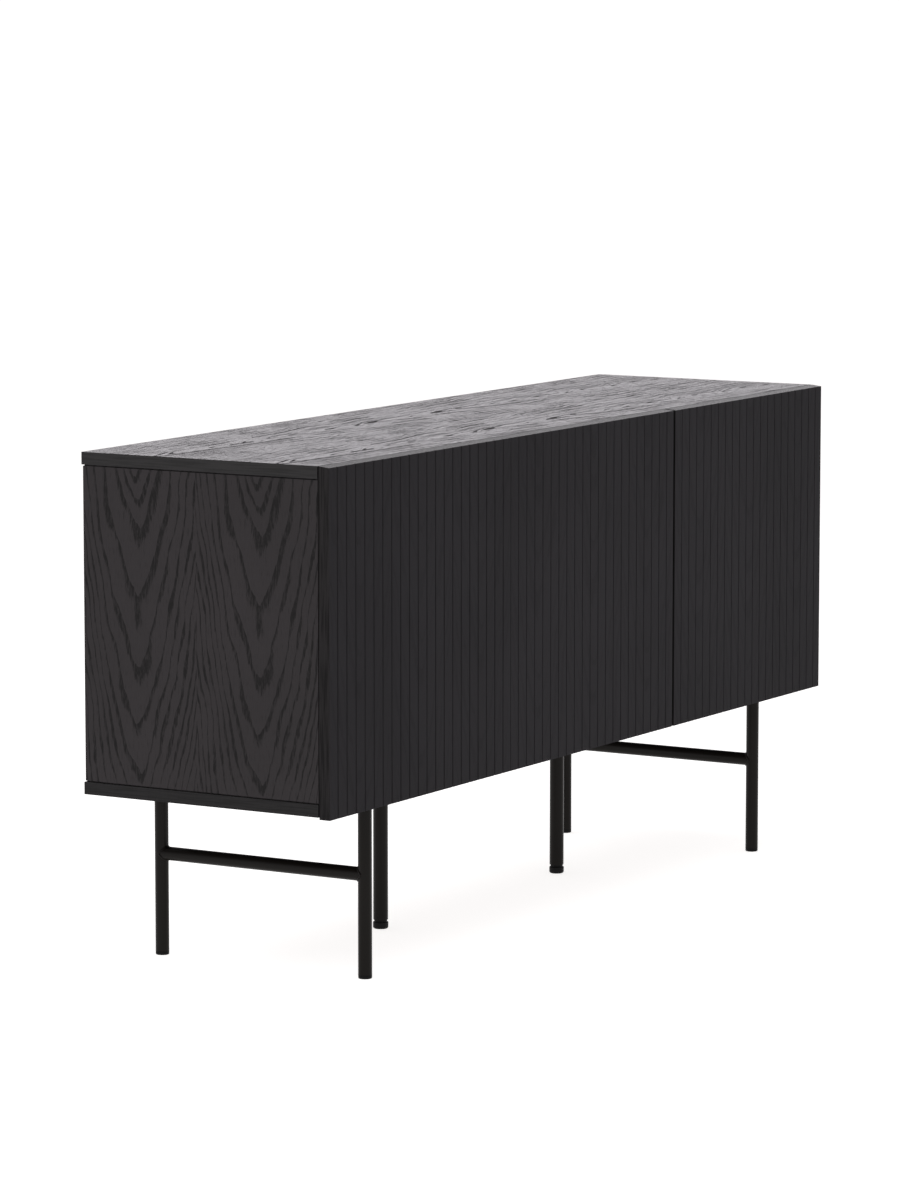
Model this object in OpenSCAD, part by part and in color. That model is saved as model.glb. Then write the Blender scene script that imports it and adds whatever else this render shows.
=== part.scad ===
// Three-door sideboard buffet with grooved fronts, a veneered case and tubular steel legs.
// The origin is on the floor under the middle of the overall box: X across the width,
// -Y towards the doors, +Z up.

/* [Case] */
// Overall width
overall_w = 1600; // [1400:10:1800]
// Overall depth, doors included
overall_d = 436; // [400:2:480]
// Overall height
overall_h = 790; // [760:5:820]
// Height of the case, from the underside of its floor to its top
case_h = 519; // [480:1:560]
// Thickness of the top and the floor
slab_t = 19; // [16:1:25]
// Thickness of the side panels and the partitions
upright_t = 18; // [16:1:22]
// Distance of both partitions from the middle
partition_x = 267; // [255:1:280]
// How far the side panels sit inside the ends of the top
side_inset = 1; // [0.5:0.1:2]
// Height of the shadow line above and below each side panel
shadow_h = 2; // [1:0.1:2.5]
// Depth of the shadow lines
shadow_depth = 4; // [1:0.1:4.5]
// Thickness of the back board
back_t = 3; // [3:0.5:6]
// Thickness of the shelves
shelf_t = 16; // [15:1:22]
// Height of the shelves' undersides
shelf_z = 524; // [440:1:600]

/* [Doors] */
// Thickness of the doors
door_t = 18; // [16:1:20]
// Air between the closed doors and the case
door_air = 2; // [1.5:0.1:3]
// Gap between the left and the middle door, which meet at their free edges
meeting_gap = 1; // [1:0.1:2]
// Gap between the middle and the right door, beside the middle door's hinges
hinge_gap = 6.5; // [4.5:0.1:8]
// How far the doors hang below the case
door_drop = 3; // [0:0.5:5]
// How far the top edge of each door falls from its back, level with the top, to its front
door_top_fall = 2; // [0:0.5:5]
// Number of vertical grooves in each door
grooves = 20; // [10:1:24]
// Distance from groove to groove
groove_pitch = 25.5; // [20:0.1:25.5]
// Width of a groove at the surface
groove_w = 3; // [2:0.1:4]
// Depth of a groove
groove_depth = 2; // [1:0.1:3]

/* [Legs] */
// Diameter of the tube of the leg frames
frame_tube_d = 21.3; // [18:0.1:28]
// Wall of the tubes
tube_wall = 1.5; // [1:0.1:2]
// Distance of the leg frames from the middle
frame_x = 633.5; // [560:0.5:680]
// Distance of the front legs' middles from the front of the case
front_leg_inset = 22; // [15:1:60]
// Distance of the rear legs' middles from the back of the case
rear_leg_inset = 28; // [15:1:60]
// Height of the middle of the cross rails
rail_z = 158.5; // [100:0.5:220]
// Diameter of the two support legs
support_d = 23.5; // [20:0.5:30]
// Distance of the support legs from the middle
support_x = 283; // [200:1:400]
// Thickness of the steel bars and plates under the case
plate_t = 4; // [3:0.5:5]

/* [Hinges] */
// Distance of each hinge from the nearer end of the door
hinge_end = 90; // [70:1:120]
// Diameter of the bore for the hinge cup
cup_bore_d = 35; // [35:1:35]
// Depth of the bore for the hinge cup
cup_bore_depth = 12.5; // [12:0.1:13]
// Radius of the hinge pins
pin_r = 2; // [1.5:0.1:2.2]
// Radial play of the links on the pins
pin_play = 0.05; // [0.02:0.01:0.1]

/* [Hidden] */
$fn = 48;

floor_z = overall_h - case_h;
floor_top_z = floor_z + slab_t;
ceiling_z = overall_h - slab_t;
end_x = overall_w / 2;
case_back = overall_d / 2;
door_front = -overall_d / 2;
door_back = door_front + door_t;
case_front = door_back + door_air;
case_d = case_back - case_front;
case_y = (case_front + case_back) / 2;

side_back_inset = 2;
side_outer_x = end_x - side_inset;
side_inner_x = side_outer_x - upright_t;
side_d = case_d - side_back_inset;
back_inset = 12;
back_y = case_back - back_inset;
back_play = 0.1;
back_groove = 6;
groove_end_air = 0.5;
partition_d = back_y - back_play - case_front;

door_w = (overall_w - meeting_gap - hinge_gap) / 3;
door_z = floor_z - door_drop;
door_h = overall_h - door_z;
left_door_x = -end_x;
middle_door_x = left_door_x + door_w + meeting_gap;
right_door_x = end_x - door_w;
middle_hinge_x = middle_door_x + door_w;
hinge_levels = [door_z + hinge_end, door_z + door_h - door_top_fall - hinge_end];

// Hinge geometry in a hinge's own frame: x runs from the door's hinge edge into the
// opening and y = 0 is the front of the case. The arm's pivot is fixed to the case and
// the cup's pivot turns with the door.
arm_pivot = [34, 8];
cup_pivot = [11, -5];
link_path = [cup_pivot, [16, -8.5], [25, -6], [32, 1], arm_pivot];
link_half = 5.2;
link_t = 4;
cup_eye_r = 3.4;
link_arm_eye_r = 4.4;
arm_eye_r = 4.5;
pin_fit = 0.02;
cheek_in = 5.4;
cheek_out = 7.4;
cheek_end = 17;
cup_x = 22.5;
cup_r = cup_bore_d / 2 - 0.1;
cup_wall = 1;
cup_floor_air = 0.5;
flange_t = 1.2;
flange_r = 20;
ear_x = 32;
ear_z = 24;
ear_r = 6;
arm_low = 29.5;
arm_high = 38.5;
arm_back = 60;
web_front = 18;
web_t = 2;
mount_front = 24;
mount_back = 56;
mount_screw_y = 37;
mount_screw_z = 16;
wing_t = 2.5;
wing_r = 6.5;

// Push latches under the top, each beside a door's free edge.
latch_xs = [-partition_x - 39, -partition_x + 39, partition_x + 39];
latch_w = 16;
latch_h = 18;
latch_front = case_front + 6;
latch_l = 78;
latch_z = ceiling_z - latch_h / 2;
plunger_r = 4.5;
plunger_play = 0.1;
plunger_l = 50;
magnet_r = 3.7;
magnet_t = 1.2;
strike_r = 9;
strike_t = 1.5;
strike_air = 0.2;
plunger_tip = door_back + strike_t + strike_air;
latch_end_wall = 8;
latch_bore_end = latch_front + latch_l - latch_end_wall;
latch_peg_ys = [latch_front + 52, latch_front + 68];
latch_peg_l = 7;
spring_r = 3.4;
spring_core_r = 2.4;

// Fittings that join the uprights to the top and the floor.
dowel_r = 4;
dowel_play = 0.05;
bore_end_air = 0.5;
dowel_in_slab = 10;
dowel_in_upright = 20;
dowel_ys = [case_front + 60, case_y, case_back - 60];
cam_r = 7.5;
cam_t = 12.5;
cam_play = 0.1;
cam_slot_depth = 1;
cam_slot_w = 1.4;
cam_slot_l = 11;
cam_reach = 34;
cam_ys = [case_front + 95, case_back - 95];
cam_bolt_r = 3;
cam_bolt_play = 0.6;
cam_bolt_in_slab = 11;

pin_hole_r = 2.5;
pin_hole_depth = 8;
pin_tip_r = 3.5;
pin_tip_l = 8;
shelf_play = 1;
shelf_front_inset = 20;
shelf_back_air = 4;
shelf_front = case_front + shelf_front_inset;
shelf_d = back_y - shelf_back_air - shelf_front;
pin_inset = 40;
pin_ys = [shelf_front + pin_inset, shelf_front + shelf_d - pin_inset];
pin_rows = [-64, 0, 64];

leg_ys = [case_front + front_leg_inset, case_back - rear_leg_inset];
frame_r = frame_tube_d / 2;
support_r = support_d / 2;
plate_z = floor_z - plate_t;
bar_w = 30;
bar_over = 16;
pad_r = frame_r - 0.15;
pad_h = 4;
pad_round = 1.5;
leg_z = 6;
frame_collar_t = 1.5;
plug_h = 20;
plug_play = 0.05;
stem_r = 3.9;
stem_play = 0.05;
stem_top = 40;
foot_r = 12.2;
foot_h = 10.5;
foot_round = 3;
foot_edge = 0.5;
neck_r = 10.3;
neck_h = 1.5;
support_z = 14.5;
support_collar_t = 2;
support_plate_w = 64;
support_screw = 22;
screw_shaft_r = 2.4;
screw_hole_r = 2.5;
screw_head_r = 4.5;
screw_head_t = 2.5;
screw_depth = 14;
bar_screw_ys = [case_front + 60, case_y, case_back - 60];
wood_screw_r = 1.8;
wood_screw_head_r = 3.4;
wood_screw_head_t = 1.4;
wood_screw_play = 0.1;
wood_screw_depth = 11;

oak = "#2f2c2d";
inner = "#2a2829";
steel_black = "#262524";
nickel = "#b9b8b4";
plastic_black = "#1c1c1c";
plastic_grey = "#8d8d8b";
zinc = "#a9aaa6";
beech = "#c9a877";

// ---- helpers ----

module rod(r, l) {
    cylinder(r = r, h = l);
}

// A rod along +Y
module rod_y(r, l) {
    rotate([-90, 0, 0]) cylinder(r = r, h = l);
}

// A rod along +X
module rod_x(r, l) {
    rotate([0, 90, 0]) cylinder(r = r, h = l);
}

module block(x, y, z) {
    translate([x[0], y[0], z[0]]) cube([x[1] - x[0], y[1] - y[0], z[1] - z[0]]);
}

module flip_x(flip) {
    if (flip) mirror([1, 0, 0]) children();
    else children();
}

// A hinge's own frame at a door edge, repeated at both hinge levels
module at_hinges(edge_x, inward) {
    for (z = hinge_levels) {
        translate([edge_x, case_front, z]) flip_x(inward < 0) children();
    }
}

// Every hinge on the case
module at_all_hinges() {
    at_hinges(-end_x, 1) children();
    at_hinges(middle_hinge_x, -1) children();
    at_hinges(end_x, -1) children();
}

// ---- case ----

// Centres of the four uprights
upright_xs = [
    -side_inner_x - upright_t / 2, -partition_x,
    partition_x, side_inner_x + upright_t / 2
];

// Blind bores for dowels and cam bolts in a slab; up is 1 for the floor, -1 for the top
module slab_bores(face_z, up) {
    depth = cam_bolt_in_slab + bore_end_air;
    for (x = upright_xs) {
        for (y = dowel_ys) {
            translate([x, y, face_z - (up > 0 ? dowel_in_slab + bore_end_air : 1)])
                rod(dowel_r + dowel_play, dowel_in_slab + bore_end_air + 1);
        }
        for (y = cam_ys) {
            translate([x, y, face_z - (up > 0 ? depth : 1)])
                rod(cam_bolt_r + dowel_play, depth + 1);
        }
    }
}

// Groove that holds the back board in a slab
module slab_back_groove(face_z, up) {
    z = up > 0 ? [face_z - back_groove, face_z + 1] : [face_z - 1, face_z + back_groove];
    block([-side_inner_x - back_groove, side_inner_x + back_groove],
        [back_y - back_play, back_y + back_t + back_play], z);
}

module top_panel() {
    color(oak) difference() {
        block([-end_x, end_x], [case_front, case_back], [ceiling_z, overall_h]);
        slab_bores(ceiling_z, -1);
        slab_back_groove(ceiling_z, -1);
        for (x = latch_xs, y = latch_peg_ys) {
            translate([x, y, ceiling_z - 1])
                rod(wood_screw_r + wood_screw_play, latch_peg_l + bore_end_air + 1);
        }
    }
}

module floor_panel() {
    color(oak) difference() {
        block([-end_x, end_x], [case_front, case_back], [floor_z, floor_top_z]);
        slab_bores(floor_top_z, 1);
        slab_back_groove(floor_top_z, 1);
        at_leg_screws() translate([0, 0, -1]) rod(screw_hole_r, screw_depth + 2);
    }
}

// Bores in an upright that is centred on x = 0; face is the side its cams open on
module upright_bores(face) {
    for (end = [0, 1]) {
        edge_z = end == 0 ? floor_top_z : ceiling_z;
        away = end == 0 ? 1 : -1;
        for (y = dowel_ys) {
            translate([0, y, edge_z - (end == 0 ? 1 : dowel_in_upright + bore_end_air)])
                rod(dowel_r + dowel_play, dowel_in_upright + bore_end_air + 1);
        }
        for (y = cam_ys) {
            translate([0, y, edge_z - (end == 0 ? 1 : cam_reach)])
                rod(cam_bolt_r + cam_bolt_play, cam_reach + 1);
            translate([face * upright_t / 2, y, edge_z + away * cam_reach])
                rotate([0, -90 * face, 0]) translate([0, 0, -1])
                    rod(cam_r + cam_play, cam_t + 1 + cam_play);
        }
    }
}

// Rows of shelf pin holes in the face of an upright
module pin_holes(face) {
    for (y = pin_ys, row = pin_rows) {
        translate([face * upright_t / 2, y, shelf_z - pin_tip_r + row])
            rotate([0, -90 * face, 0]) translate([0, 0, -1]) rod(pin_hole_r, pin_hole_depth + 1);
    }
}

// Pilot bores for the screws of a mounting plate
module plate_screw_holes(face) {
    for (z = hinge_levels, side = [-1, 1]) {
        translate([face * upright_t / 2, case_front + mount_screw_y, z + side * mount_screw_z])
            rotate([0, -90 * face, 0]) translate([0, 0, -1])
                rod(wood_screw_r + wood_screw_play, wood_screw_depth + 1);
    }
}

// A side panel on the left; its outer face is at -X and its inner face at +X
module side_panel() {
    translate([upright_xs[0], 0, 0]) difference() {
        block([-upright_t / 2, upright_t / 2], [case_front, case_front + side_d],
            [floor_top_z, ceiling_z]);
        upright_bores(1);
        pin_holes(1);
        plate_screw_holes(1);
        block([upright_t / 2 - back_groove, upright_t / 2 + 1],
            [back_y - back_play, back_y + back_t + back_play],
            [floor_top_z - 1, ceiling_z + 1]);
        for (z = [floor_top_z, ceiling_z - shadow_h]) {
            block([-upright_t / 2 - 1, shadow_depth - upright_t / 2],
                [case_front - 1, case_back], [z, z + shadow_h]);
        }
    }
}

module left_side_panel() {
    color(oak) side_panel();
}

module right_side_panel() {
    color(oak) mirror([1, 0, 0]) side_panel();
}

// A partition; the cams open on the side that cam_face names
module partition(x, cam_face) {
    translate([x, 0, 0]) difference() {
        block([-upright_t / 2, upright_t / 2], [case_front, case_front + partition_d],
            [floor_top_z, ceiling_z]);
        upright_bores(cam_face);
        pin_holes(1);
        pin_holes(-1);
        if (x > 0) plate_screw_holes(-1);
    }
}

module left_partition() {
    color(inner) partition(-partition_x, -1);
}

module right_partition() {
    color(inner) partition(partition_x, 1);
}

module back_board() {
    reach = back_groove - groove_end_air;
    color(inner) block([-side_inner_x - reach, side_inner_x + reach],
        [back_y, back_y + back_t], [floor_top_z - reach, ceiling_z + reach]);
}

// Each bay's left and right inner faces
bays = [
    [-side_inner_x, -partition_x - upright_t / 2],
    [-partition_x + upright_t / 2, partition_x - upright_t / 2],
    [partition_x + upright_t / 2, side_inner_x]
];

module shelf(bay) {
    color(inner) block([bay[0] + shelf_play, bay[1] - shelf_play],
        [shelf_front, shelf_front + shelf_d], [shelf_z, shelf_z + shelf_t]);
}

module left_shelf() {
    shelf(bays[0]);
}

module middle_shelf() {
    shelf(bays[1]);
}

module right_shelf() {
    shelf(bays[2]);
}

// A stepped pin that points along +X out of its hole
module shelf_pin() {
    translate([0.5 - pin_hole_depth, 0, 0]) rod_x(pin_hole_r - 0.05, pin_hole_depth);
    rod_x(pin_tip_r, pin_tip_l);
}

module shelf_pins() {
    color(zinc) for (bay = bays, y = pin_ys) {
        translate([bay[0], y, shelf_z - pin_tip_r]) shelf_pin();
        translate([bay[1], y, shelf_z - pin_tip_r]) mirror([1, 0, 0]) shelf_pin();
    }
}

module dowels() {
    length = dowel_in_slab + dowel_in_upright;
    color(beech) for (x = upright_xs, y = dowel_ys) {
        translate([x, y, floor_top_z - dowel_in_slab]) rod(dowel_r, length);
        translate([x, y, ceiling_z - dowel_in_upright]) rod(dowel_r, length);
    }
}

// Side on which the cams of each upright open
cam_faces = [1, -1, 1, -1];

// A cam that opens towards +X, with the hole for its bolt pointing down
module cam_lock() {
    difference() {
        rotate([0, -90, 0]) rod(cam_r, cam_t);
        translate([-upright_t / 2, 0, -cam_r - 1]) rod(cam_bolt_r + cam_bolt_play, cam_r + 2);
        cube([2 * cam_slot_depth, cam_slot_l, cam_slot_w], center = true);
    }
}

module cam_locks() {
    color(zinc) for (i = [0:3], y = cam_ys) {
        translate([upright_xs[i] + cam_faces[i] * upright_t / 2, y, floor_top_z + cam_reach])
            flip_x(cam_faces[i] < 0) cam_lock();
        translate([upright_xs[i] + cam_faces[i] * upright_t / 2, y, ceiling_z - cam_reach])
            flip_x(cam_faces[i] < 0) mirror([0, 0, 1]) cam_lock();
    }
}

module cam_bolts() {
    length = cam_bolt_in_slab + cam_reach;
    color(zinc) for (x = upright_xs, y = cam_ys) {
        translate([x, y, floor_top_z - cam_bolt_in_slab]) rod(cam_bolt_r, length);
        translate([x, y, ceiling_z - cam_reach]) rod(cam_bolt_r, length);
    }
}

// Soft stops on the case's front edges, where the doors' free edges close
module door_bumpers() {
    bumper_r = 3;
    bumper_t = door_air - 0.3;
    from_edge = 3.5;
    from_slab = 30;
    xs = [left_door_x + door_w - from_edge, middle_door_x + from_edge, right_door_x + from_edge];
    color(plastic_grey) for (x = xs, z = [floor_top_z + from_slab, ceiling_z - from_slab]) {
        translate([x, case_front - bumper_t, z]) rod_y(bumper_r, bumper_t);
    }
}

// ---- doors ----

// Outline of a door seen from above, with its front at y = 0 and flared grooves
module door_outline() {
    first = (door_w - (grooves - 1) * groove_pitch) / 2;
    front = [for (i = [0:grooves - 1], p = [[-1, 0], [-0.4, 1], [0.4, 1], [1, 0]])
        [first + i * groove_pitch + p[0] * groove_w / 2, p[1] * groove_depth]];
    polygon(concat([[0, door_t], [0, 0]], front, [[door_w, 0], [door_w, door_t]]));
}

// A door whose left edge is at x, with a sloping top edge and bores for its hinge cups
module door_leaf(x, hinge_x, inward) {
    color(oak) difference() {
        translate([x, door_front, door_z]) linear_extrude(door_h) door_outline();
        translate([x - 1, door_back, overall_h]) rotate([atan(door_top_fall / door_t), 0, 0])
            translate([0, -2 * door_t, 0]) cube([door_w + 2, 2 * door_t, door_t]);
        at_hinges(hinge_x, inward) {
            translate([cup_x, -door_air - cup_bore_depth, 0])
                rod_y(cup_bore_d / 2, cup_bore_depth + 1);
            for (side = [-1, 1]) {
                translate([ear_x, -door_air - wood_screw_depth, side * ear_z])
                    rod_y(wood_screw_r + wood_screw_play, wood_screw_depth + 1);
            }
        }
    }
}

module left_door() {
    door_leaf(left_door_x, -end_x, 1);
}

module middle_door() {
    door_leaf(middle_door_x, middle_hinge_x, -1);
}

module right_door() {
    door_leaf(right_door_x, end_x, -1);
}

// The steel cup with its flange, its two cheeks and the screws in its ears
module hinge_cup() {
    inner_r = cup_r - cup_wall;
    floor_y = -door_air - cup_bore_depth + cup_floor_air;
    difference() {
        union() {
            translate([cup_x, floor_y, 0]) rod_y(cup_r, -door_air - floor_y);
            translate([cup_x, -door_air, 0]) rod_y(flange_r, flange_t);
            block([ear_x - ear_r, ear_x + ear_r], [-door_air, flange_t - door_air],
                [-ear_z, ear_z]);
            for (side = [-1, 1]) {
                translate([ear_x, -door_air, side * ear_z]) rod_y(ear_r, flange_t);
            }
        }
        translate([cup_x, floor_y + cup_wall, 0]) rod_y(inner_r, cup_bore_depth + 2);
    }
    difference() {
        intersection() {
            translate([cup_x, floor_y, 0]) rod_y(inner_r + cup_wall / 2, -door_air - floor_y);
            for (side = [-1, 1]) {
                mid = side * (cheek_in + cheek_out) / 2;
                half = (cheek_out - cheek_in) / 2;
                block([0, cheek_end], [floor_y, -door_air], [mid - half, mid + half]);
            }
        }
        translate([cup_pivot[0], cup_pivot[1], -cheek_out - 1]) rod(pin_r + pin_fit, 2 * cheek_out + 2);
    }
    for (side = [-1, 1]) {
        translate([ear_x, flange_t - door_air, side * ear_z]) rod_y(wood_screw_head_r, wood_screw_head_t);
        translate([ear_x, -door_air - wood_screw_depth + 1, side * ear_z])
            rod_y(wood_screw_r, wood_screw_depth);
    }
}

module left_hinge_cups() {
    color(nickel) at_hinges(-end_x, 1) hinge_cup();
}

module middle_hinge_cups() {
    color(nickel) at_hinges(middle_hinge_x, -1) hinge_cup();
}

module right_hinge_cups() {
    color(nickel) at_hinges(end_x, -1) hinge_cup();
}

module hinge_pin(pivot) {
    translate([pivot[0], pivot[1], -cheek_out]) rod(pin_r, 2 * cheek_out);
}

module left_cup_pins() {
    color(nickel) at_hinges(-end_x, 1) hinge_pin(cup_pivot);
}

module middle_cup_pins() {
    color(nickel) at_hinges(middle_hinge_x, -1) hinge_pin(cup_pivot);
}

module right_cup_pins() {
    color(nickel) at_hinges(end_x, -1) hinge_pin(cup_pivot);
}

module arm_pins() {
    color(nickel) at_all_hinges() hinge_pin(arm_pivot);
}

// A straight stretch of the link between two points of its path
module link_bar(a, b) {
    d = b - a;
    translate(a) rotate(atan2(d[1], d[0])) translate([0, -link_t / 2]) square([norm(d), link_t]);
    translate(a) circle(d = link_t);
    translate(b) circle(d = link_t);
}

// The curved link, which reaches round the edge of the door when it is open
module hinge_link() {
    translate([0, 0, -link_half]) linear_extrude(2 * link_half) difference() {
        union() {
            for (i = [0:len(link_path) - 2]) link_bar(link_path[i], link_path[i + 1]);
            translate(cup_pivot) circle(r = cup_eye_r);
            translate(arm_pivot) circle(r = link_arm_eye_r);
        }
        for (pivot = [cup_pivot, arm_pivot]) translate(pivot) circle(r = pin_r + pin_play);
    }
}

module left_hinge_links() {
    color(nickel) at_hinges(-end_x, 1) hinge_link();
}

module middle_hinge_links() {
    color(nickel) at_hinges(middle_hinge_x, -1) hinge_link();
}

module right_hinge_links() {
    color(nickel) at_hinges(end_x, -1) hinge_link();
}

// The arm's two cheeks, joined by a web behind the link
module hinge_arm() {
    difference() {
        union() {
            for (z = [[-cheek_out, -cheek_in], [cheek_in, cheek_out]]) {
                block([arm_low, arm_high], [arm_pivot[1], arm_back], z);
                translate([arm_pivot[0], arm_pivot[1], z[0]]) rod(arm_eye_r, z[1] - z[0]);
            }
            block([arm_high - web_t, arm_high], [web_front, arm_back], [-cheek_in, cheek_in]);
        }
        translate([arm_pivot[0], arm_pivot[1], -cheek_out - 1]) rod(pin_r + pin_fit, 2 * cheek_out + 2);
    }
}

module hinge_arms() {
    color(nickel) at_all_hinges() hinge_arm();
}

// The block under the arm and its two screwed wings; panel is the x of the panel's face
module mounting_plate(panel) {
    difference() {
        union() {
            block([panel, arm_low], [mount_front, mount_back], [-cheek_out, cheek_out]);
            block([panel, panel + wing_t], [mount_screw_y - wing_r, mount_screw_y + wing_r],
                [-mount_screw_z, mount_screw_z]);
            for (side = [-1, 1]) {
                translate([panel, mount_screw_y, side * mount_screw_z]) rod_x(wing_r, wing_t);
            }
        }
        for (side = [-1, 1]) {
            translate([panel - 1, mount_screw_y, side * mount_screw_z])
                rod_x(wood_screw_r + wood_screw_play, wing_t + 2);
        }
    }
}

// Distance from the hinge edge of the door to the face that its plates stand on
side_face = end_x - side_inner_x;
partition_face = middle_hinge_x - (partition_x - upright_t / 2);

module mounting_plates() {
    color(nickel) {
        at_hinges(-end_x, 1) mounting_plate(side_face);
        at_hinges(middle_hinge_x, -1) mounting_plate(partition_face);
        at_hinges(end_x, -1) mounting_plate(side_face);
    }
}

module plate_screw_pair(panel) {
    for (side = [-1, 1]) {
        translate([panel + wing_t, mount_screw_y, side * mount_screw_z])
            rod_x(wood_screw_head_r, wood_screw_head_t);
        translate([panel - wood_screw_depth + 1, mount_screw_y, side * mount_screw_z])
            rod_x(wood_screw_r, wood_screw_depth + wing_t - 1);
    }
}

module plate_screws() {
    color(zinc) {
        at_hinges(-end_x, 1) plate_screw_pair(side_face);
        at_hinges(middle_hinge_x, -1) plate_screw_pair(partition_face);
        at_hinges(end_x, -1) plate_screw_pair(side_face);
    }
}

// ---- push latches ----

// The housings, each with a bore for its plunger and two pegs that press into the top
module latch_housings() {
    color(plastic_black) for (x = latch_xs) {
        difference() {
            block([x - latch_w / 2, x + latch_w / 2], [latch_front, latch_front + latch_l],
                [ceiling_z - latch_h, ceiling_z]);
            translate([x, latch_front - 1, latch_z])
                rod_y(plunger_r + plunger_play, latch_bore_end - latch_front + 1);
        }
        for (y = latch_peg_ys) {
            translate([x, y, ceiling_z - 1]) rod(wood_screw_r, latch_peg_l + 1);
        }
    }
}

// A latch plunger with its magnet at the tip
module plunger(i) {
    color(zinc) translate([latch_xs[i], plunger_tip, latch_z]) {
        rod_y(magnet_r, magnet_t);
        translate([0, magnet_t, 0]) rod_y(plunger_r, plunger_l - magnet_t);
    }
}

module left_plunger() {
    plunger(0);
}

module middle_plunger() {
    plunger(1);
}

module right_plunger() {
    plunger(2);
}

// A thin sleeve in the place of the spring behind each plunger
module latch_spring(i) {
    start = plunger_tip + plunger_l;
    color(nickel) translate([latch_xs[i], start, latch_z]) difference() {
        rod_y(spring_r, latch_bore_end - start);
        translate([0, -1, 0]) rod_y(spring_core_r, latch_bore_end - start + 2);
    }
}

module left_latch_spring() {
    latch_spring(0);
}

module middle_latch_spring() {
    latch_spring(1);
}

module right_latch_spring() {
    latch_spring(2);
}

module strike_plate(i) {
    color(zinc) translate([latch_xs[i], door_back, latch_z]) rod_y(strike_r, strike_t);
}

module left_strike_plate() {
    strike_plate(0);
}

module middle_strike_plate() {
    strike_plate(1);
}

module right_strike_plate() {
    strike_plate(2);
}

// ---- legs ----

module tube(r, bottom, top) {
    translate([0, 0, bottom]) difference() {
        rod(r, top - bottom);
        translate([0, 0, -1]) rod(r - tube_wall, top - bottom + 2);
    }
}

module frame_leg(side, row) {
    color(steel_black) translate([side * frame_x, leg_ys[row], 0]) tube(frame_r, leg_z, plate_z);
}

module left_front_leg() {
    frame_leg(-1, 0);
}

module left_rear_leg() {
    frame_leg(-1, 1);
}

module right_front_leg() {
    frame_leg(1, 0);
}

module right_rear_leg() {
    frame_leg(1, 1);
}

// A tube between two legs, with its ends cut to their round faces
module cross_rail(side) {
    span = leg_ys[1] - leg_ys[0];
    color(steel_black) translate([side * frame_x, leg_ys[0], rail_z]) difference() {
        rod_y(frame_r, span);
        translate([0, -1, 0]) rod_y(frame_r - tube_wall, span + 2);
        for (y = [0, span]) {
            translate([0, y, -frame_r - 1]) rod(frame_r, 2 * frame_r + 2);
        }
    }
}

module left_cross_rail() {
    cross_rail(-1);
}

module right_cross_rail() {
    cross_rail(1);
}

// Places of the screws that hold the bars and plates, at the underside of the case
module at_leg_screws() {
    for (side = [-1, 1]) {
        for (y = bar_screw_ys) translate([side * frame_x, y, floor_z]) children();
        for (dx = [-1, 1], dy = [-1, 1]) {
            translate([side * support_x + dx * support_screw, case_y + dy * support_screw, floor_z])
                children();
        }
    }
}

module mounting_bars() {
    color(steel_black) difference() {
        for (side = [-1, 1]) {
            block([side * frame_x - bar_w / 2, side * frame_x + bar_w / 2],
                [leg_ys[0] - bar_over, leg_ys[1] + bar_over], [plate_z, floor_z]);
        }
        at_leg_screws() translate([0, 0, -plate_t - 1]) rod(screw_hole_r, plate_t + 2);
    }
}

module support_plates() {
    color(steel_black) difference() {
        for (side = [-1, 1]) {
            block([side * support_x - support_plate_w / 2, side * support_x + support_plate_w / 2],
                [case_y - support_plate_w / 2, case_y + support_plate_w / 2], [plate_z, floor_z]);
        }
        at_leg_screws() translate([0, 0, -plate_t - 1]) rod(screw_hole_r, plate_t + 2);
    }
}

module leg_screws() {
    color(zinc) at_leg_screws() {
        translate([0, 0, -plate_t - screw_head_t]) rod(screw_head_r, screw_head_t);
        translate([0, 0, -plate_t]) rod(screw_shaft_r, plate_t + screw_depth);
    }
}

module support_leg(side) {
    color(steel_black) translate([side * support_x, case_y, 0])
        tube(support_r, support_z, plate_z);
}

module left_support_leg() {
    support_leg(-1);
}

module right_support_leg() {
    support_leg(1);
}

// Plastic plug in the end of a tube, with a collar under it and a bore for the foot's stem
module leg_plug(tube_r, bottom, collar_r, collar_t) {
    difference() {
        union() {
            translate([0, 0, bottom - collar_t]) rod(collar_r, collar_t);
            translate([0, 0, bottom]) rod(tube_r - tube_wall - plug_play, plug_h);
        }
        translate([0, 0, bottom - collar_t - 1]) rod(stem_r + stem_play, plug_h + collar_t + 2);
    }
}

module leg_plugs() {
    color(plastic_black) {
        for (side = [-1, 1], y = leg_ys) {
            translate([side * frame_x, y, 0]) leg_plug(frame_r, leg_z, frame_r, frame_collar_t);
        }
        for (side = [-1, 1]) {
            translate([side * support_x, case_y, 0])
                leg_plug(support_r, support_z, neck_r, support_collar_t);
        }
    }
}

// A turned disc with a rounded lower edge
module turned_pad(r, h, edge) {
    rotate_extrude() difference() {
        union() {
            square([r - edge, h]);
            translate([0, edge]) square([r, h - edge]);
            translate([r - edge, edge]) circle(r = edge);
        }
        translate([-edge - r, -1]) square([edge + r, h + 2]);
    }
}

// A levelling foot under a frame leg: a pad as wide as the tube, on a stem
module frame_foot(side, row) {
    color(plastic_black) translate([side * frame_x, leg_ys[row], 0]) {
        turned_pad(pad_r, pad_h, pad_round);
        rod(stem_r, stem_top);
    }
}

module left_front_foot() {
    frame_foot(-1, 0);
}

module left_rear_foot() {
    frame_foot(-1, 1);
}

module right_front_foot() {
    frame_foot(1, 0);
}

module right_rear_foot() {
    frame_foot(1, 1);
}

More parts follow.
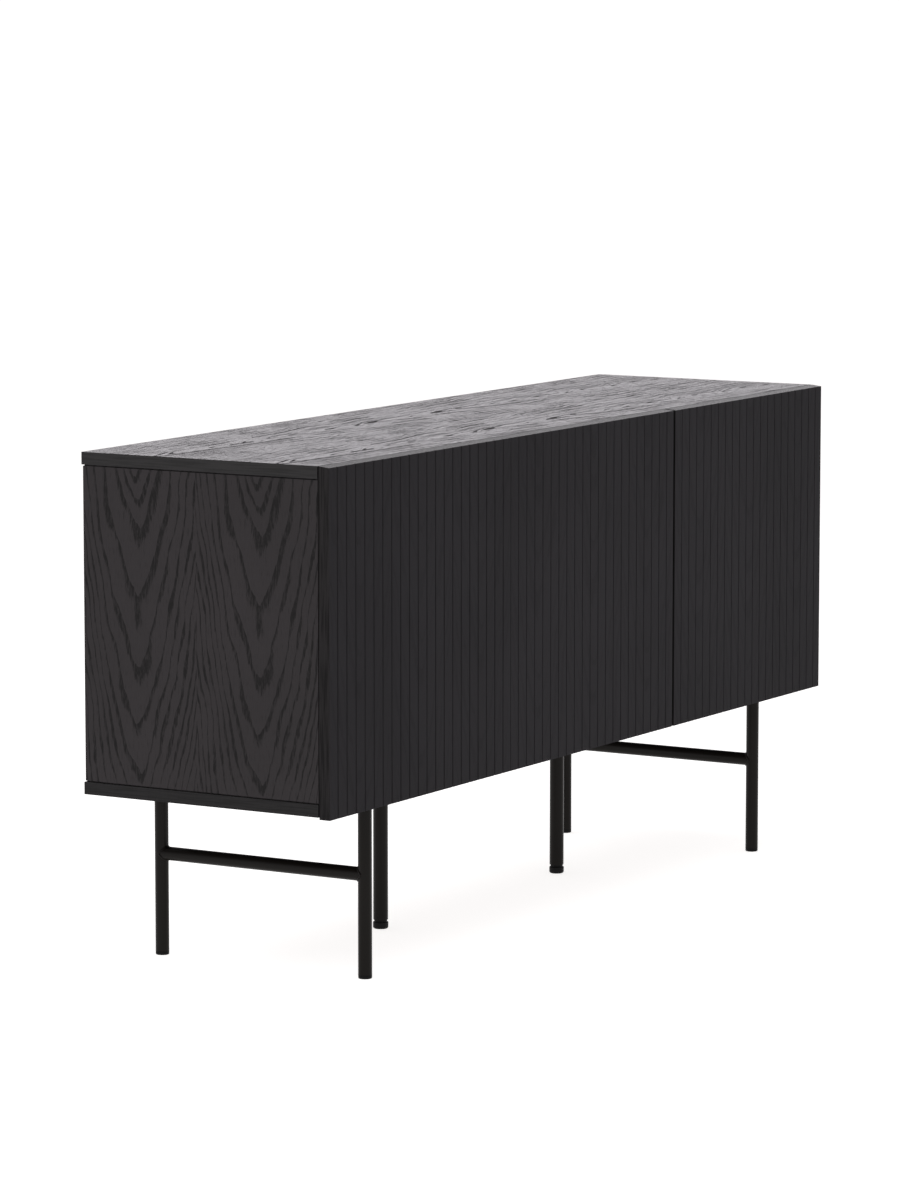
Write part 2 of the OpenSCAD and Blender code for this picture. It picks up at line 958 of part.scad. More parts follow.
// The wider foot of a support leg, with a neck over it
module support_foot(side) {
    color(plastic_black) translate([side * support_x, case_y, 0]) {
        turned_pad(foot_r, foot_h - foot_edge, foot_round);
        translate([0, 0, foot_h - foot_edge])
            cylinder(r1 = foot_r, r2 = foot_r - foot_edge, h = foot_edge);
        rod(neck_r, foot_h + neck_h);
        rod(stem_r, stem_top);
    }
}

module left_support_foot() {
    support_foot(-1);
}

module right_support_foot() {
    support_foot(1);
}

top_panel();
floor_panel();
left_side_panel();
right_side_panel();
left_partition();
right_partition();
back_board();
left_shelf();
middle_shelf();
right_shelf();
shelf_pins();
dowels();
cam_locks();
cam_bolts();
door_bumpers();
left_door();
middle_door();
right_door();
left_hinge_cups();
middle_hinge_cups();
right_hinge_cups();
left_cup_pins();
middle_cup_pins();
right_cup_pins();
left_hinge_links();
middle_hinge_links();
right_hinge_links();
arm_pins();
hinge_arms();
mounting_plates();
plate_screws();
left_strike_plate();
middle_strike_plate();
right_strike_plate();
latch_housings();
left_plunger();
middle_plunger();
right_plunger();
left_latch_spring();
middle_latch_spring();
right_latch_spring();
left_front_leg();
left_rear_leg();
left_cross_rail();
right_front_leg();
right_rear_leg();
right_cross_rail();
mounting_bars();
leg_plugs();
left_front_foot();
left_rear_foot();
right_front_foot();
right_rear_foot();
left_support_leg();
right_support_leg();
support_plates();
left_support_foot();
right_support_foot();
leg_screws();
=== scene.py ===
"""Looks for the sideboard buffet: black-stained oak veneer, powder-coated legs and hinge metal."""

import math

import bmesh
import bpy
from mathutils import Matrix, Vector


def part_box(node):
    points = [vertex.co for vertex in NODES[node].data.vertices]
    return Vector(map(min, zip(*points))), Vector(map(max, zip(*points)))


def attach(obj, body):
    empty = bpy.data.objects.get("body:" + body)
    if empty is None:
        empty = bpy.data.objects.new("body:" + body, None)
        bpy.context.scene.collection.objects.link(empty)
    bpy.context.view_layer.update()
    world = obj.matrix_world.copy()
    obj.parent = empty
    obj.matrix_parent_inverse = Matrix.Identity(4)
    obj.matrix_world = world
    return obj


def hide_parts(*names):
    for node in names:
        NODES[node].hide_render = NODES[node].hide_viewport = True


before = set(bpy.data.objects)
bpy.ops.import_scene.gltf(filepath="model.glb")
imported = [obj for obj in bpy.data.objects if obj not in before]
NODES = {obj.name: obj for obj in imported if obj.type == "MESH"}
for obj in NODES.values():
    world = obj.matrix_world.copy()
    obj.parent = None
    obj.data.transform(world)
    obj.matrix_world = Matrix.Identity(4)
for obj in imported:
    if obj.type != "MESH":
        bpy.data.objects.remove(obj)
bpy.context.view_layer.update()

MM = 0.001
SIDES = ("left", "middle", "right")


# ---- camera, floor and light ----

# The camera looks at TARGET from this side, height and distance, through a long lens.
# CAMERA_OFFSET moves it to the right and up without turning it.
CAMERA_AZIMUTH = math.radians(-59.43)
CAMERA_ELEVATION = math.radians(7.33)
CAMERA_DISTANCE = 8.367
CAMERA_OFFSET = (-0.0344, 0.0906)
CAMERA_LENS = 155.2
SENSOR = 36.0
CLIP_END = 100.0
TARGET = Vector((0.0, 0.010, 0.400))
# The floor is a light table, and the sky is brightest at the horizon; SKY_FADE gives the
# heights, as sines, between which it dims
FLOOR_SIZE = 30.0
FLOOR_GREY = (0.80, 0.80, 0.80, 1.0)
FLOOR_GLOW = 0.82
FLOOR_TINT = (1.0, 0.985, 0.97, 1.0)
SKY_TINT = (1.0, 0.97, 1.005, 1.0)
SKY_LOW = 1.08
SKY_HIGH = 0.20
SKY_FADE = (0.12, 0.50)
# Name, azimuth and elevation in degrees, distance and size in metres, power in watts
SOFTBOXES = (("key", -75.0, 48.0, 5.0, 3.0, 60.0), ("top", 175.0, 72.0, 4.0, 3.5, 50.0))


def look_from(azimuth, elevation):
    """The unit vector from the target to a viewer, with azimuth 0 in front of the doors."""
    flat = math.cos(elevation)
    return Vector((math.sin(azimuth) * flat, -math.cos(azimuth) * flat, math.sin(elevation)))


def make_camera():
    data = bpy.data.cameras.new("camera")
    data.lens = CAMERA_LENS
    data.sensor_width = SENSOR
    data.clip_end = CLIP_END
    camera = bpy.data.objects.new("camera", data)
    bpy.context.collection.objects.link(camera)
    back = look_from(CAMERA_AZIMUTH, CAMERA_ELEVATION)
    right = Vector((math.cos(CAMERA_AZIMUTH), math.sin(CAMERA_AZIMUTH), 0.0))
    up = back.cross(right)
    camera.location = (
        TARGET + back * CAMERA_DISTANCE + right * CAMERA_OFFSET[0] + up * CAMERA_OFFSET[1]
    )
    camera.rotation_euler = (-back).to_track_quat("-Z", "Y").to_euler()
    bpy.context.scene.camera = camera


def softbox(name, azimuth, elevation, distance, size, power):
    """A square area light that faces the target."""
    data = bpy.data.lights.new(name, "AREA")
    data.shape = "SQUARE"
    data.size = size
    data.energy = power
    light = bpy.data.objects.new(name, data)
    bpy.context.collection.objects.link(light)
    away = look_from(math.radians(azimuth), math.radians(elevation))
    light.location = TARGET + away * distance
    light.rotation_euler = (-away).to_track_quat("-Z", "Y").to_euler()


def make_floor():
    """A pale floor that glows a little."""
    mesh = bpy.data.meshes.new("floor")
    shape = bmesh.new()
    bmesh.ops.create_grid(shape, x_segments=1, y_segments=1, size=FLOOR_SIZE)
    shape.to_mesh(mesh)
    shape.free()
    floor = bpy.data.objects.new("floor", mesh)
    bpy.context.collection.objects.link(floor)
    material = bpy.data.materials.new("floor_white")
    material.use_nodes = True
    shader = material.node_tree.nodes["Principled BSDF"]
    shader.inputs["Base Color"].default_value = FLOOR_GREY
    shader.inputs["Roughness"].default_value = 1.0
    shader.inputs["Specular IOR Level"].default_value = 0.0
    shader.inputs["Emission Color"].default_value = FLOOR_TINT
    shader.inputs["Emission Strength"].default_value = FLOOR_GLOW
    mesh.materials.append(material)


def make_sky():
    """An even, soft surround: white round the horizon and dimmer overhead."""
    world = bpy.data.worlds.new("studio")
    world.use_nodes = True
    tree = world.node_tree
    coords = tree.nodes.new("ShaderNodeTexCoord")
    split = tree.nodes.new("ShaderNodeSeparateXYZ")
    fade = tree.nodes.new("ShaderNodeMapRange")
    fade.interpolation_type = "SMOOTHSTEP"
    fade.inputs["From Min"].default_value = SKY_FADE[0]
    fade.inputs["From Max"].default_value = SKY_FADE[1]
    fade.inputs["To Min"].default_value = SKY_LOW
    fade.inputs["To Max"].default_value = SKY_HIGH
    tree.links.new(coords.outputs["Generated"], split.inputs[0])
    tree.links.new(split.outputs["Z"], fade.inputs["Value"])
    background = tree.nodes["Background"]
    background.inputs["Color"].default_value = SKY_TINT
    tree.links.new(fade.outputs[0], background.inputs["Strength"])
    bpy.context.scene.world = world
    bpy.context.scene.view_settings.view_transform = "Standard"


# ---- node trees ----

class Tree:
    """A short way to write a material's node tree."""

    def __init__(self, name):
        self.material = bpy.data.materials.new(name)
        self.material.use_nodes = True
        self.tree = self.material.node_tree
        self.shader = self.tree.nodes["Principled BSDF"]

    def wire(self, value, socket):
        """Connects an output to a socket, or sets the socket to a number."""
        if isinstance(value, bpy.types.NodeSocket):
            self.tree.links.new(value, socket)
        else:
            socket.default_value = value

    def math(self, operation, *values, clamp=False):
        node = self.tree.nodes.new("ShaderNodeMath")
        node.operation = operation
        node.use_clamp = clamp
        for value, socket in zip(values, node.inputs):
            self.wire(value, socket)
        return node.outputs[0]

    def position(self):
        """The point on the object at rest, in metres, as three separate numbers."""
        coords = self.tree.nodes.new("ShaderNodeTexCoord")
        split = self.tree.nodes.new("ShaderNodeSeparateXYZ")
        self.tree.links.new(coords.outputs["Object"], split.inputs[0])
        return [split.outputs[i] for i in range(3)]

    def facing(self):
        """How far the surface faces along X, Y and Z of the object, from 0 to 1 each."""
        coords = self.tree.nodes.new("ShaderNodeTexCoord")
        split = self.tree.nodes.new("ShaderNodeSeparateXYZ")
        self.tree.links.new(coords.outputs["Normal"], split.inputs[0])
        return [self.math("ABSOLUTE", split.outputs[i]) for i in range(3)]

    def point(self, x, y, z):
        node = self.tree.nodes.new("ShaderNodeCombineXYZ")
        for value, socket in zip((x, y, z), node.inputs):
            self.wire(value, socket)
        return node.outputs[0]

    def noise(self, vector, scale, detail=2.0, roughness=0.5):
        node = self.tree.nodes.new("ShaderNodeTexNoise")
        self.wire(vector, node.inputs["Vector"])
        node.inputs["Scale"].default_value = scale
        node.inputs["Detail"].default_value = detail
        node.inputs["Roughness"].default_value = roughness
        return node.outputs["Fac"]

    def grain(self, u, v, scale, seed, detail=2.0, roughness=0.5):
        """Noise with its own scale across (u) and along (v) the grain."""
        across, along = (self.math("MULTIPLY", c, k) for c, k in zip((u, v), scale))
        return self.noise(self.point(across, along, seed), 1.0, detail, roughness)

    def mix(self, factor, first, second):
        """Blends two numbers."""
        node = self.tree.nodes.new("ShaderNodeMix")
        node.data_type = "FLOAT"
        for value, socket in zip((factor, first, second), node.inputs[:1] + node.inputs[2:4]):
            self.wire(value, socket)
        return node.outputs[0]

    def blend(self, factor, first, second):
        """Blends two colours."""
        node = self.tree.nodes.new("ShaderNodeMix")
        node.data_type = "RGBA"
        colours = [s for s in node.inputs if s.type == "RGBA"]
        self.wire(factor, node.inputs[0])
        for value, socket in zip((first, second), colours):
            self.wire(value if isinstance(value, bpy.types.NodeSocket) else (*value, 1.0), socket)
        return [s for s in node.outputs if s.type == "RGBA"][0]

    def band(self, value, low, high):
        """0 below low and 1 above high, with a smooth rise between."""
        node = self.tree.nodes.new("ShaderNodeMapRange")
        node.interpolation_type = "SMOOTHSTEP"
        self.wire(value, node.inputs["Value"])
        node.inputs["From Min"].default_value = low
        node.inputs["From Max"].default_value = high
        return node.outputs[0]

    def bump(self, height, distance, strength=1.0):
        node = self.tree.nodes.new("ShaderNodeBump")
        node.inputs["Distance"].default_value = distance
        node.inputs["Strength"].default_value = strength
        self.wire(height, node.inputs["Height"])
        self.tree.links.new(node.outputs["Normal"], self.shader.inputs["Normal"])

    def set(self, **values):
        """Sets the shader's sockets, named with underscores for spaces."""
        for name, value in values.items():
            if name == "Base_Color" and not isinstance(value, bpy.types.NodeSocket):
                value = (*value, 1.0)
            self.wire(value, self.shader.inputs[name.replace("_", " ")])
        return self.material


def centred(t, noise, size):
    """A noise turned into a push of up to about half of size either way."""
    return t.math("MULTIPLY", t.math("SUBTRACT", noise, 0.5), size)


def shade(colour, tone):
    """A colour times a tone, channel by channel."""
    return tuple(c * k for c, k in zip(colour, tone))


# ---- veneer ----

# Stained oak between the pores and in them
OAK_LIGHT = (0.0275, 0.0232, 0.0252)
OAK_DARK = (0.0068, 0.0060, 0.0062)
# How the doors' faces and all edges differ from that
DOOR_TONE = (0.78, 0.87, 0.89)
EDGE_TINT = (0.97, 1.08, 1.02)

# Width of a leaf of veneer, and where the axis of its Vs is, as a part of that. The same
# leaf is laid again and again across a panel. The doors' leaves are narrower.
LEAF = 0.215
DOOR_LEAF = 0.178
LEAF_AXIS = 0.48
# A whole number of leaves, which keeps the place in a leaf above zero everywhere
LEAVES_BEFORE = 40
# Where on the across axis an axis of Vs lies, in metres
TOP_AXIS = -0.127
SIDE_AXIS = -0.097
# A ring line in a leaf is a rounded V: its height is a slope times the distance from the
# leaf's axis, plus V_CURVE times its square, in millimetres
V_SLOPE = 2.3
TOP_SLOPE = 14.0
V_CURVE = 0.021
V_ROUND = 8.0
# Heights of the V tips in the side panels' veneer, in millimetres: evenly spaced low down,
# and one by one above
EVEN_TIPS = range(-199, 297, 62)
SIDE_TIPS = (*EVEN_TIPS, 297.0, 370.0, 452.0, 563.0, 665.0, 707.0, 740.0, 775.0, 810.0)
# Below the lowest tip and above the highest one, RINGS_BEYOND more rings are spread over
# TIP_REACH millimetres
TIP_REACH = 300.0
RINGS_BEYOND = 2.0
# Elsewhere the rings are RING_STEP apart, pushed up or down by a slow noise
RING_STEP = 84.0
RING_PUSH = 190.0
RING_PUSH_SCALE = 0.0085

# Noises across and along the grain, per millimetre, and what they do: SWAY moves the leaf's
# axis, WAVE the ring lines, PATCH and TEETH the part of a ring that its pores fill, which is
# between FILL's limits before the teeth, and CLUSTER where a band's pores are dense
SWAY_SCALE, SWAY = (0.014, 0.0055), 40.0
WAVE_SCALE, WAVE = (0.09, 0.012), 26.0
PATCH_SCALE, PATCH = (0.020, 0.009), (0.35, 0.65)
FILL = (0.15, 0.44)
TEETH_SCALE, TEETH = (0.42, 0.040), 0.60
CLUSTER_SCALE, CLUSTER = (0.34, 0.050), (0.36, 0.56)
PORE_SCALE = (0.9, 0.055)
FIBRE_SCALE = (0.45, 0.012)
ROUGH_NOISE = 0.7
# A band of pores starts in ragged teeth below, and ends in a clean line above
BAND_RISE = (-0.05, 0.08)
BAND_FALL = (0.97, 1.0)
# How dark a band is between its clusters of pores
THIN_PORES = 0.32
# Between which values of their noises single pores and the edges' streaks turn dark, and
# how dark those streaks get
FLECKS = (0.52, 0.70)
EDGE_STREAKS, EDGE_DEPTH = (0.42, 0.62), 0.6
# Uneven stain over a panel: noise per metre, its limits and its strength
CLOUD_SCALE, CLOUD, CLOUD_DEPTH = 2.6, (0.3, 0.7), 0.22
# How squarely a surface looks along an axis when it begins to count as facing that way, and
# when it does so fully
FACING = (0.55, 0.75)
EDGE_ROUGH = 0.7
# How the dark tone lowers the surface and the pores' noise raises it, and the bump's size
DARK_HEIGHT, PORE_HEIGHT = -0.6, 0.5
WOOD_BUMP = 0.12 * MM
# The zone of a door's grooves fades in and out at these depths behind its outer face, and
# keeps away from the door's left and right ends; painted light brightens the grooves in that zone
GROOVE_START = (0.2 * MM, 0.9 * MM)
GROOVE_END = (4.0 * MM, 5.0 * MM)
GROOVE_ENDS = (4.0 * MM, 6.0 * MM)


def ring_number(t, height, seed):
    """Counts the rings up a leaf's axis. They are unevenly spaced."""
    at = t.point(t.math("MULTIPLY", height, RING_PUSH_SCALE), seed, 0.0)
    uneven = centred(t, t.noise(at, 1.0, 1.0), RING_PUSH)
    return t.math("DIVIDE", t.math("ADD", height, uneven), RING_STEP)


def tip_number(t, height, tips):
    """Counts the rings up a leaf's axis, where tips are the heights of their V tips in mm."""
    low, high = tips[0] - TIP_REACH, tips[-1] + TIP_REACH
    curve = t.tree.nodes.new("ShaderNodeFloatCurve")
    mapping = curve.mapping
    points = mapping.curves[0].points
    steps = len(tips) - 1 + 2 * RINGS_BEYOND
    points[0].location, points[-1].location = (0.0, 0.0), (1.0, 1.0)
    for i, tip in enumerate(tips):
        points.new((tip - low) / (high - low), (i + RINGS_BEYOND) / steps)
    for point in points:
        point.handle_type = "VECTOR"
    mapping.update()
    place = t.math("DIVIDE", t.math("SUBTRACT", height, low), high - low, clamp=True)
    t.wire(place, curve.inputs["Value"])
    return t.math("MULTIPLY", curve.outputs[0], steps)


def ring_lines(t, across, along, start, leaf, slope, seed, tips):
    """Dark pore bands of slip-matched crown-cut leaves, with 1 in the middle of a band.

    across and along are in metres; start is where on the across axis a leaf begins. Also
    returns the place in the leaf, across (u) and along (v), in millimetres."""
    in_leaf = t.math("MODULO", t.math("ADD", across, leaf * LEAVES_BEFORE - start), leaf)
    u = t.math("MULTIPLY", t.math("SUBTRACT", in_leaf, leaf * LEAF_AXIS), 1 / MM)
    v = t.math("MULTIPLY", along, 1 / MM)
    u = t.math("ADD", u, centred(t, t.grain(u, v, SWAY_SCALE, seed), SWAY))
    square = t.math("MULTIPLY", u, u)
    soft = t.math("SQRT", t.math("ADD", square, V_ROUND * V_ROUND))
    rise = t.math("ADD", t.math("MULTIPLY", soft, slope), t.math("MULTIPLY", square, V_CURVE))
    height = t.math("ADD", t.math("SUBTRACT", v, rise),
                    centred(t, t.grain(u, v, WAVE_SCALE, seed + 1.0), WAVE))
    rings = tip_number(t, height, tips) if tips else ring_number(t, height, seed)
    place = t.math("FRACT", rings)
    patch = t.band(t.grain(u, v, PATCH_SCALE, seed + 5.0, detail=1.0), *PATCH)
    teeth = t.grain(u, v, TEETH_SCALE, seed + 3.0, detail=3.0, roughness=ROUGH_NOISE)
    fill = t.math("ADD", t.mix(patch, *FILL), centred(t, teeth, TEETH))
    rising = t.band(t.math("SUBTRACT", place, t.math("SUBTRACT", 1.0, fill)), *BAND_RISE)
    falling = t.math("SUBTRACT", 1.0, t.band(place, *BAND_FALL))
    return t.math("MULTIPLY", rising, falling), u, v


def fibre(t, u, v, seed):
    """Long soft streaks along the grain."""
    return t.grain(u, v, FIBRE_SCALE, seed, detail=3.0, roughness=0.55)


def face_darkness(t, across, along, start, leaf, slope, seed, tips, speckle, contrast):
    """How dark a wide face is, from 0 to 1, and the noises of its pores and long streaks."""
    bands, u, v = ring_lines(t, across, along, start, leaf, slope, seed, tips)
    pores = t.grain(u, v, PORE_SCALE, seed, detail=3.0, roughness=0.65)
    dense = t.grain(u, v, CLUSTER_SCALE, seed + 9.0, detail=3.0, roughness=ROUGH_NOISE)
    clusters = t.band(dense, *CLUSTER)
    crown = t.math("MULTIPLY", bands, t.mix(clusters, THIN_PORES, 1.0))
    fleck = t.math("MULTIPLY", t.band(pores, *FLECKS), speckle)
    dark = t.math("MULTIPLY", t.math("MAXIMUM", crown, fleck), contrast)
    return dark, pores, fibre(t, u, v, seed + 7.0)


def edge_darkness(t, place, on_end, face_axis, along_axis, across_axis, seed):
    """How dark a narrow edge is: its straight grain follows the longer way."""
    edge_u = t.math("MULTIPLY", place[face_axis], 1 / MM)
    edge_v = t.math("MULTIPLY", t.mix(on_end, place[along_axis], place[across_axis]), 1 / MM)
    streak = t.band(fibre(t, edge_u, edge_v, seed + 11.0), *EDGE_STREAKS)
    return t.math("MULTIPLY", streak, EDGE_DEPTH)


def cloudy(t, place, colour, tone):
    """The face's colour with the stain a little uneven over the panel."""
    at = t.point(*(t.math("MULTIPLY", c, CLOUD_SCALE) for c in place))
    cloud = t.band(t.noise(at, 1.0, 2.0), *CLOUD)
    return t.blend(t.math("MULTIPLY", cloud, CLOUD_DEPTH), colour, shade(OAK_DARK, tone))


def paint_groove_light(t, place, face_axis, across_axis, groove, colour, tone):
    """Paints light into the insides of a door's grooves: a paler copy of the stain stands in for
    light on the grooves' walls, against their shade. groove is the door's low and high corner and
    how much paler they are painted."""
    low, high, painted_groove_light = groove
    outer = low[face_axis]
    deep = t.math("SUBTRACT", t.band(place[face_axis], *(outer + g for g in GROOVE_START)),
                  t.band(place[face_axis], *(outer + g for g in GROOVE_END)))
    left, right = low[across_axis], high[across_axis]
    off_ends = t.math("SUBTRACT",
                      t.band(place[across_axis], *(left + g for g in GROOVE_ENDS)),
                      t.band(place[across_axis], *(right - g for g in reversed(GROOVE_ENDS))))
    # Painted light: the grooves' insides get a paler copy of the stain, stronger on the middle and
    # right doors
    inside = shade(OAK_LIGHT, [c * painted_groove_light for c in tone])
    return t.blend(t.math("MULTIPLY", deep, off_ends), colour, inside)


def oak_panel(name, face_axis, along_axis, start, seed, tone=(1.0, 1.0, 1.0), edge_tone=1.0,
              contrast=1.0, leaf=LEAF, slope=V_SLOPE, gloss=(0.46, 0.75), level=0.2,
              speckle=0.5, soft_streak=0.5, tips=(), groove=None, shiny_top=None):
    """Stained oak whose wide faces look along face_axis, with the grain along along_axis.

    tone and edge_tone lighten or darken the faces and the edges; on the top panel's faces tone is
    raised as a painted sheen, and the middle and right doors' low edge_tone is painted shade for
    the dark seams between the doors. gloss is the roughness of bare wood and of pores, level is the
    specular level, and speckle and soft_streak are the strengths of the pores and of the long
    streaks. groove is a door's low and high corner and how much painted light lifts the insides of
    its grooves, and shiny_top is the roughness of a door's top and bottom edges."""
    t = Tree(name)
    place = t.position()
    facing = t.facing()
    across_axis = 3 - face_axis - along_axis
    face_dark, pores, long_streak = face_darkness(
        t, place[across_axis], place[along_axis], start, leaf, slope, seed, tips, speckle, contrast)
    on_end = t.band(facing[along_axis], *FACING)
    edge_dark = edge_darkness(t, place, on_end, face_axis, along_axis, across_axis, seed)
    wide = t.band(facing[face_axis], *FACING)
    dark = t.math("ADD", t.mix(wide, edge_dark, face_dark), centred(t, long_streak, soft_streak),
                  clamp=True)
    face = cloudy(t, place, t.blend(dark, shade(OAK_LIGHT, tone), shade(OAK_DARK, tone)), tone)
    tint = [edge_tone * c for c in EDGE_TINT]
    edge = t.blend(dark, shade(OAK_LIGHT, tint), shade(OAK_DARK, tint))
    colour = t.blend(wide, edge, face)
    if groove:
        colour = paint_groove_light(t, place, face_axis, across_axis, groove, colour, tone)
    edge_rough = EDGE_ROUGH
    if shiny_top:
        edge_rough = t.mix(t.band(facing[2], *FACING), EDGE_ROUGH, shiny_top)
    rough = t.mix(wide, edge_rough, t.mix(dark, *gloss))
    relief = t.math("ADD", t.math("MULTIPLY", dark, DARK_HEIGHT),
                    t.math("MULTIPLY", pores, PORE_HEIGHT))
    t.bump(relief, WOOD_BUMP)
    return t.set(Base_Color=colour, Roughness=rough, Specular_IOR_Level=level)


# ---- other materials ----

def powder_coat():
    """Black powder coat: a fine orange-peel texture with a soft gloss."""
    t = Tree("powder_coat")
    at = t.point(*t.position())
    peel = t.noise(at, scale=2400.0)
    patch = t.noise(at, scale=14.0)
    t.bump(peel, distance=0.05 * MM, strength=0.6)
    return t.set(Base_Color=t.blend(patch, (0.0056, 0.0046, 0.0038), (0.0078, 0.0066, 0.0056)),
                 Roughness=t.mix(patch, 0.26, 0.32), Specular_IOR_Level=0.10)


def metal(name, colour, smooth, rough, scale):
    """Plated metal, brushed along Z; scale is the fineness of the brush marks."""
    t = Tree(name)
    x, y, z = t.position()
    brushed = t.noise(t.point(x, y, t.math("MULTIPLY", z, 0.08)), scale, detail=3.0)
    patch = t.noise(t.point(x, y, z), scale=60.0)
    t.bump(brushed, distance=0.03 * MM, strength=0.5)
    return t.set(Base_Color=t.blend(patch, shade(colour, (0.8, 0.8, 0.8)), colour), Metallic=1.0,
                 Roughness=t.mix(brushed, smooth, rough))


def moulded(name, colour, rough, level=0.5):
    """Moulded plastic with a fine texture."""
    t = Tree(name)
    texture = t.noise(t.point(*t.position()), scale=1800.0)
    t.bump(texture, distance=0.06 * MM, strength=0.6)
    darker = shade(colour, (0.75, 0.75, 0.75))
    return t.set(Base_Color=t.blend(texture, darker, colour),
                 Roughness=t.mix(texture, rough, rough + 0.1), Specular_IOR_Level=level)


def laminate(name, along_axis):
    """Black melamine with a faint printed grain along one axis."""
    t = Tree(name)
    scales = [500.0, 500.0, 500.0]
    scales[along_axis] = 14.0
    at = t.point(*(t.math("MULTIPLY", c, scale) for c, scale in zip(t.position(), scales)))
    printed = t.noise(at, scale=1.0, detail=3.0)
    t.bump(printed, distance=0.05 * MM, strength=0.5)
    colour = t.blend(t.band(printed, 0.35, 0.7), (0.013, 0.0122, 0.0124), (0.018, 0.0168, 0.0170))
    return t.set(Base_Color=colour, Roughness=t.mix(printed, 0.45, 0.6), Specular_IOR_Level=0.25)


def raw_beech():
    """Unfinished beech for the dowels."""
    t = Tree("beech")
    x, y, z = t.position()
    streaks = t.noise(t.point(x, y, t.math("MULTIPLY", z, 0.1)), scale=900.0, detail=3.0)
    t.bump(streaks, distance=0.08 * MM)
    return t.set(Base_Color=t.blend(streaks, (0.42, 0.26, 0.13), (0.62, 0.44, 0.25)),
                 Roughness=0.7)


# ---- CAD nodes ----

def dress(material, *names):
    """Gives CAD nodes a material."""
    for name in names:
        mesh = NODES[name].data
        mesh.materials.clear()
        mesh.materials.append(material)


def soften(width, *names):
    """Rounds the hard edges of CAD nodes, without changing their meshes."""
    for name in names:
        modifier = NODES[name].modifiers.new("edge", "BEVEL")
        modifier.width = width
        modifier.segments = 2
        modifier.limit_method = "ANGLE"
        modifier.angle_limit = math.radians(50.0)
        modifier.harden_normals = False


def dress_case():
    """The top, floor and side panels, and the laminate and dowels inside."""
    top_start = TOP_AXIS - LEAF_AXIS * LEAF
    side_start = SIDE_AXIS - LEAF_AXIS * LEAF
    # The top panel's faces get a far paler, mauve tone than the side panels of the same veneer: a
    # painted sheen; its edges keep a darker tone
    dress(oak_panel("oak_top", 2, 0, top_start, 2.0, tone=(1.25, 1.12, 1.3), edge_tone=0.65,
                    slope=TOP_SLOPE, gloss=(0.185, 0.90), level=0.28, speckle=1.0,
                    soft_streak=0.30), "top_panel")
    dress(oak_panel("oak_floor", 2, 0, top_start, 5.0, edge_tone=0.5), "floor_panel")
    dress(oak_panel("oak_side", 0, 2, side_start, 0.0, tone=(0.75, 0.74, 0.74), tips=SIDE_TIPS),
          "left_side_panel", "right_side_panel")
    dress(laminate("upright_laminate", 2), "left_partition", "right_partition", "back_board")
    dress(laminate("shelf_laminate", 0), "left_shelf", "middle_shelf", "right_shelf")
    dress(raw_beech(), "dowels")
    soften(0.8 * MM, "top_panel", "floor_panel", "left_side_panel", "right_side_panel")


# Tone of each door's edges, where the middle and right doors' low tone is painted shade for the
# dark seams between the doors, and how much painted light lifts the insides of its grooves above
# its face
DOOR_PAINTED_SHADING = (("left_door", 0.82, 1.15), ("middle_door", 0.50, 1.75), ("right_door", 0.50, 1.95))


def dress_doors():
    """The grooved doors: the same stain with a quiet figure and almost no gloss, with painted shade
    on the middle and right doors' edges and painted light in the grooves.
    """
    for index, (name, edge_tone, painted_groove_light) in enumerate(DOOR_PAINTED_SHADING):
        low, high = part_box(name)
        dress(oak_panel("oak_" + name, 1, 2, low.x, 20.0 + index, tone=DOOR_TONE,
                        edge_tone=edge_tone, contrast=0.14, leaf=DOOR_LEAF, level=0.02,
                        soft_streak=0.10, groove=(low, high, painted_groove_light), shiny_top=0.13), name)
        soften(0.5 * MM, name)


def dress_hardware(coat, zinc):
    """Legs, hinges, latches, fittings and feet."""
    nickel = metal("nickel", (0.60, 0.585, 0.55), 0.22, 0.34, 900.0)
    spring_steel = metal("spring_steel", (0.45, 0.45, 0.45), 0.25, 0.35, 1500.0)
    black_plastic = moulded("black_plastic", (0.0045, 0.0045, 0.0045), 0.45, 0.12)
    for name in NODES:
        if name.endswith(("_leg", "cross_rail")):
            dress(coat, name)
        if name.endswith("_foot"):
            dress(black_plastic, name)
    dress(coat, "mounting_bars", "support_plates")
    dress(nickel, "arm_pins", "hinge_arms", "mounting_plates")
    dress(zinc, "shelf_pins", "cam_locks", "cam_bolts", "plate_screws", "leg_screws")
    for side in SIDES:
        dress(nickel, side + "_hinge_cups", side + "_cup_pins", side + "_hinge_links")
        dress(zinc, side + "_strike_plate", side + "_plunger")
        dress(spring_steel, side + "_latch_spring")
    dress(black_plastic, "latch_housings", "leg_plugs")
    dress(moulded("bumper", (0.32, 0.32, 0.32), 0.25), "door_bumpers")


# ---- pieces ----

# A weld bead: points along it, its radius, how strong and how many its ripples are, and the
# sides of its section
WELD_STEPS = 96
WELD_R = 1.5 * MM
WELD_RIPPLE = 0.12
WELD_RIPPLES = 24
BEAD_SIDES = 10
# How far outside a leg the bead round its top runs
WELD_OFFSET = 0.4 * MM
# Rounds the two sharp corners of the saddle where a rail meets a leg
SADDLE_ROUND = 0.02

# Middles of the three bays, which the screws inside face
BAY_MIDDLES = (-0.522, 0.0, 0.522)
# A screw head: points round it, rings, the parts of its height that are its rim and its
# dome, and the shape of the dome
HEAD_TURNS = 64
HEAD_RINGS = 18
RIM = 0.45
DOME = 0.55
DOME_POWER = 2.5
# Half length and half width of the arms of a cross recess, as parts of the head's radius,
# and how much of its depth it loses towards the tips of the arms
CROSS = (0.62, 0.16)
RECESS_RISE = 0.7
# A screw's shank: points round it, rings for each turn of its thread, the thread's root and
# the shank's tip, as parts of its radius
SHANK_TURNS = 20
RINGS_PER_TURN = 4
THREAD_ROOT = 0.86
SHANK_TIP = 0.15
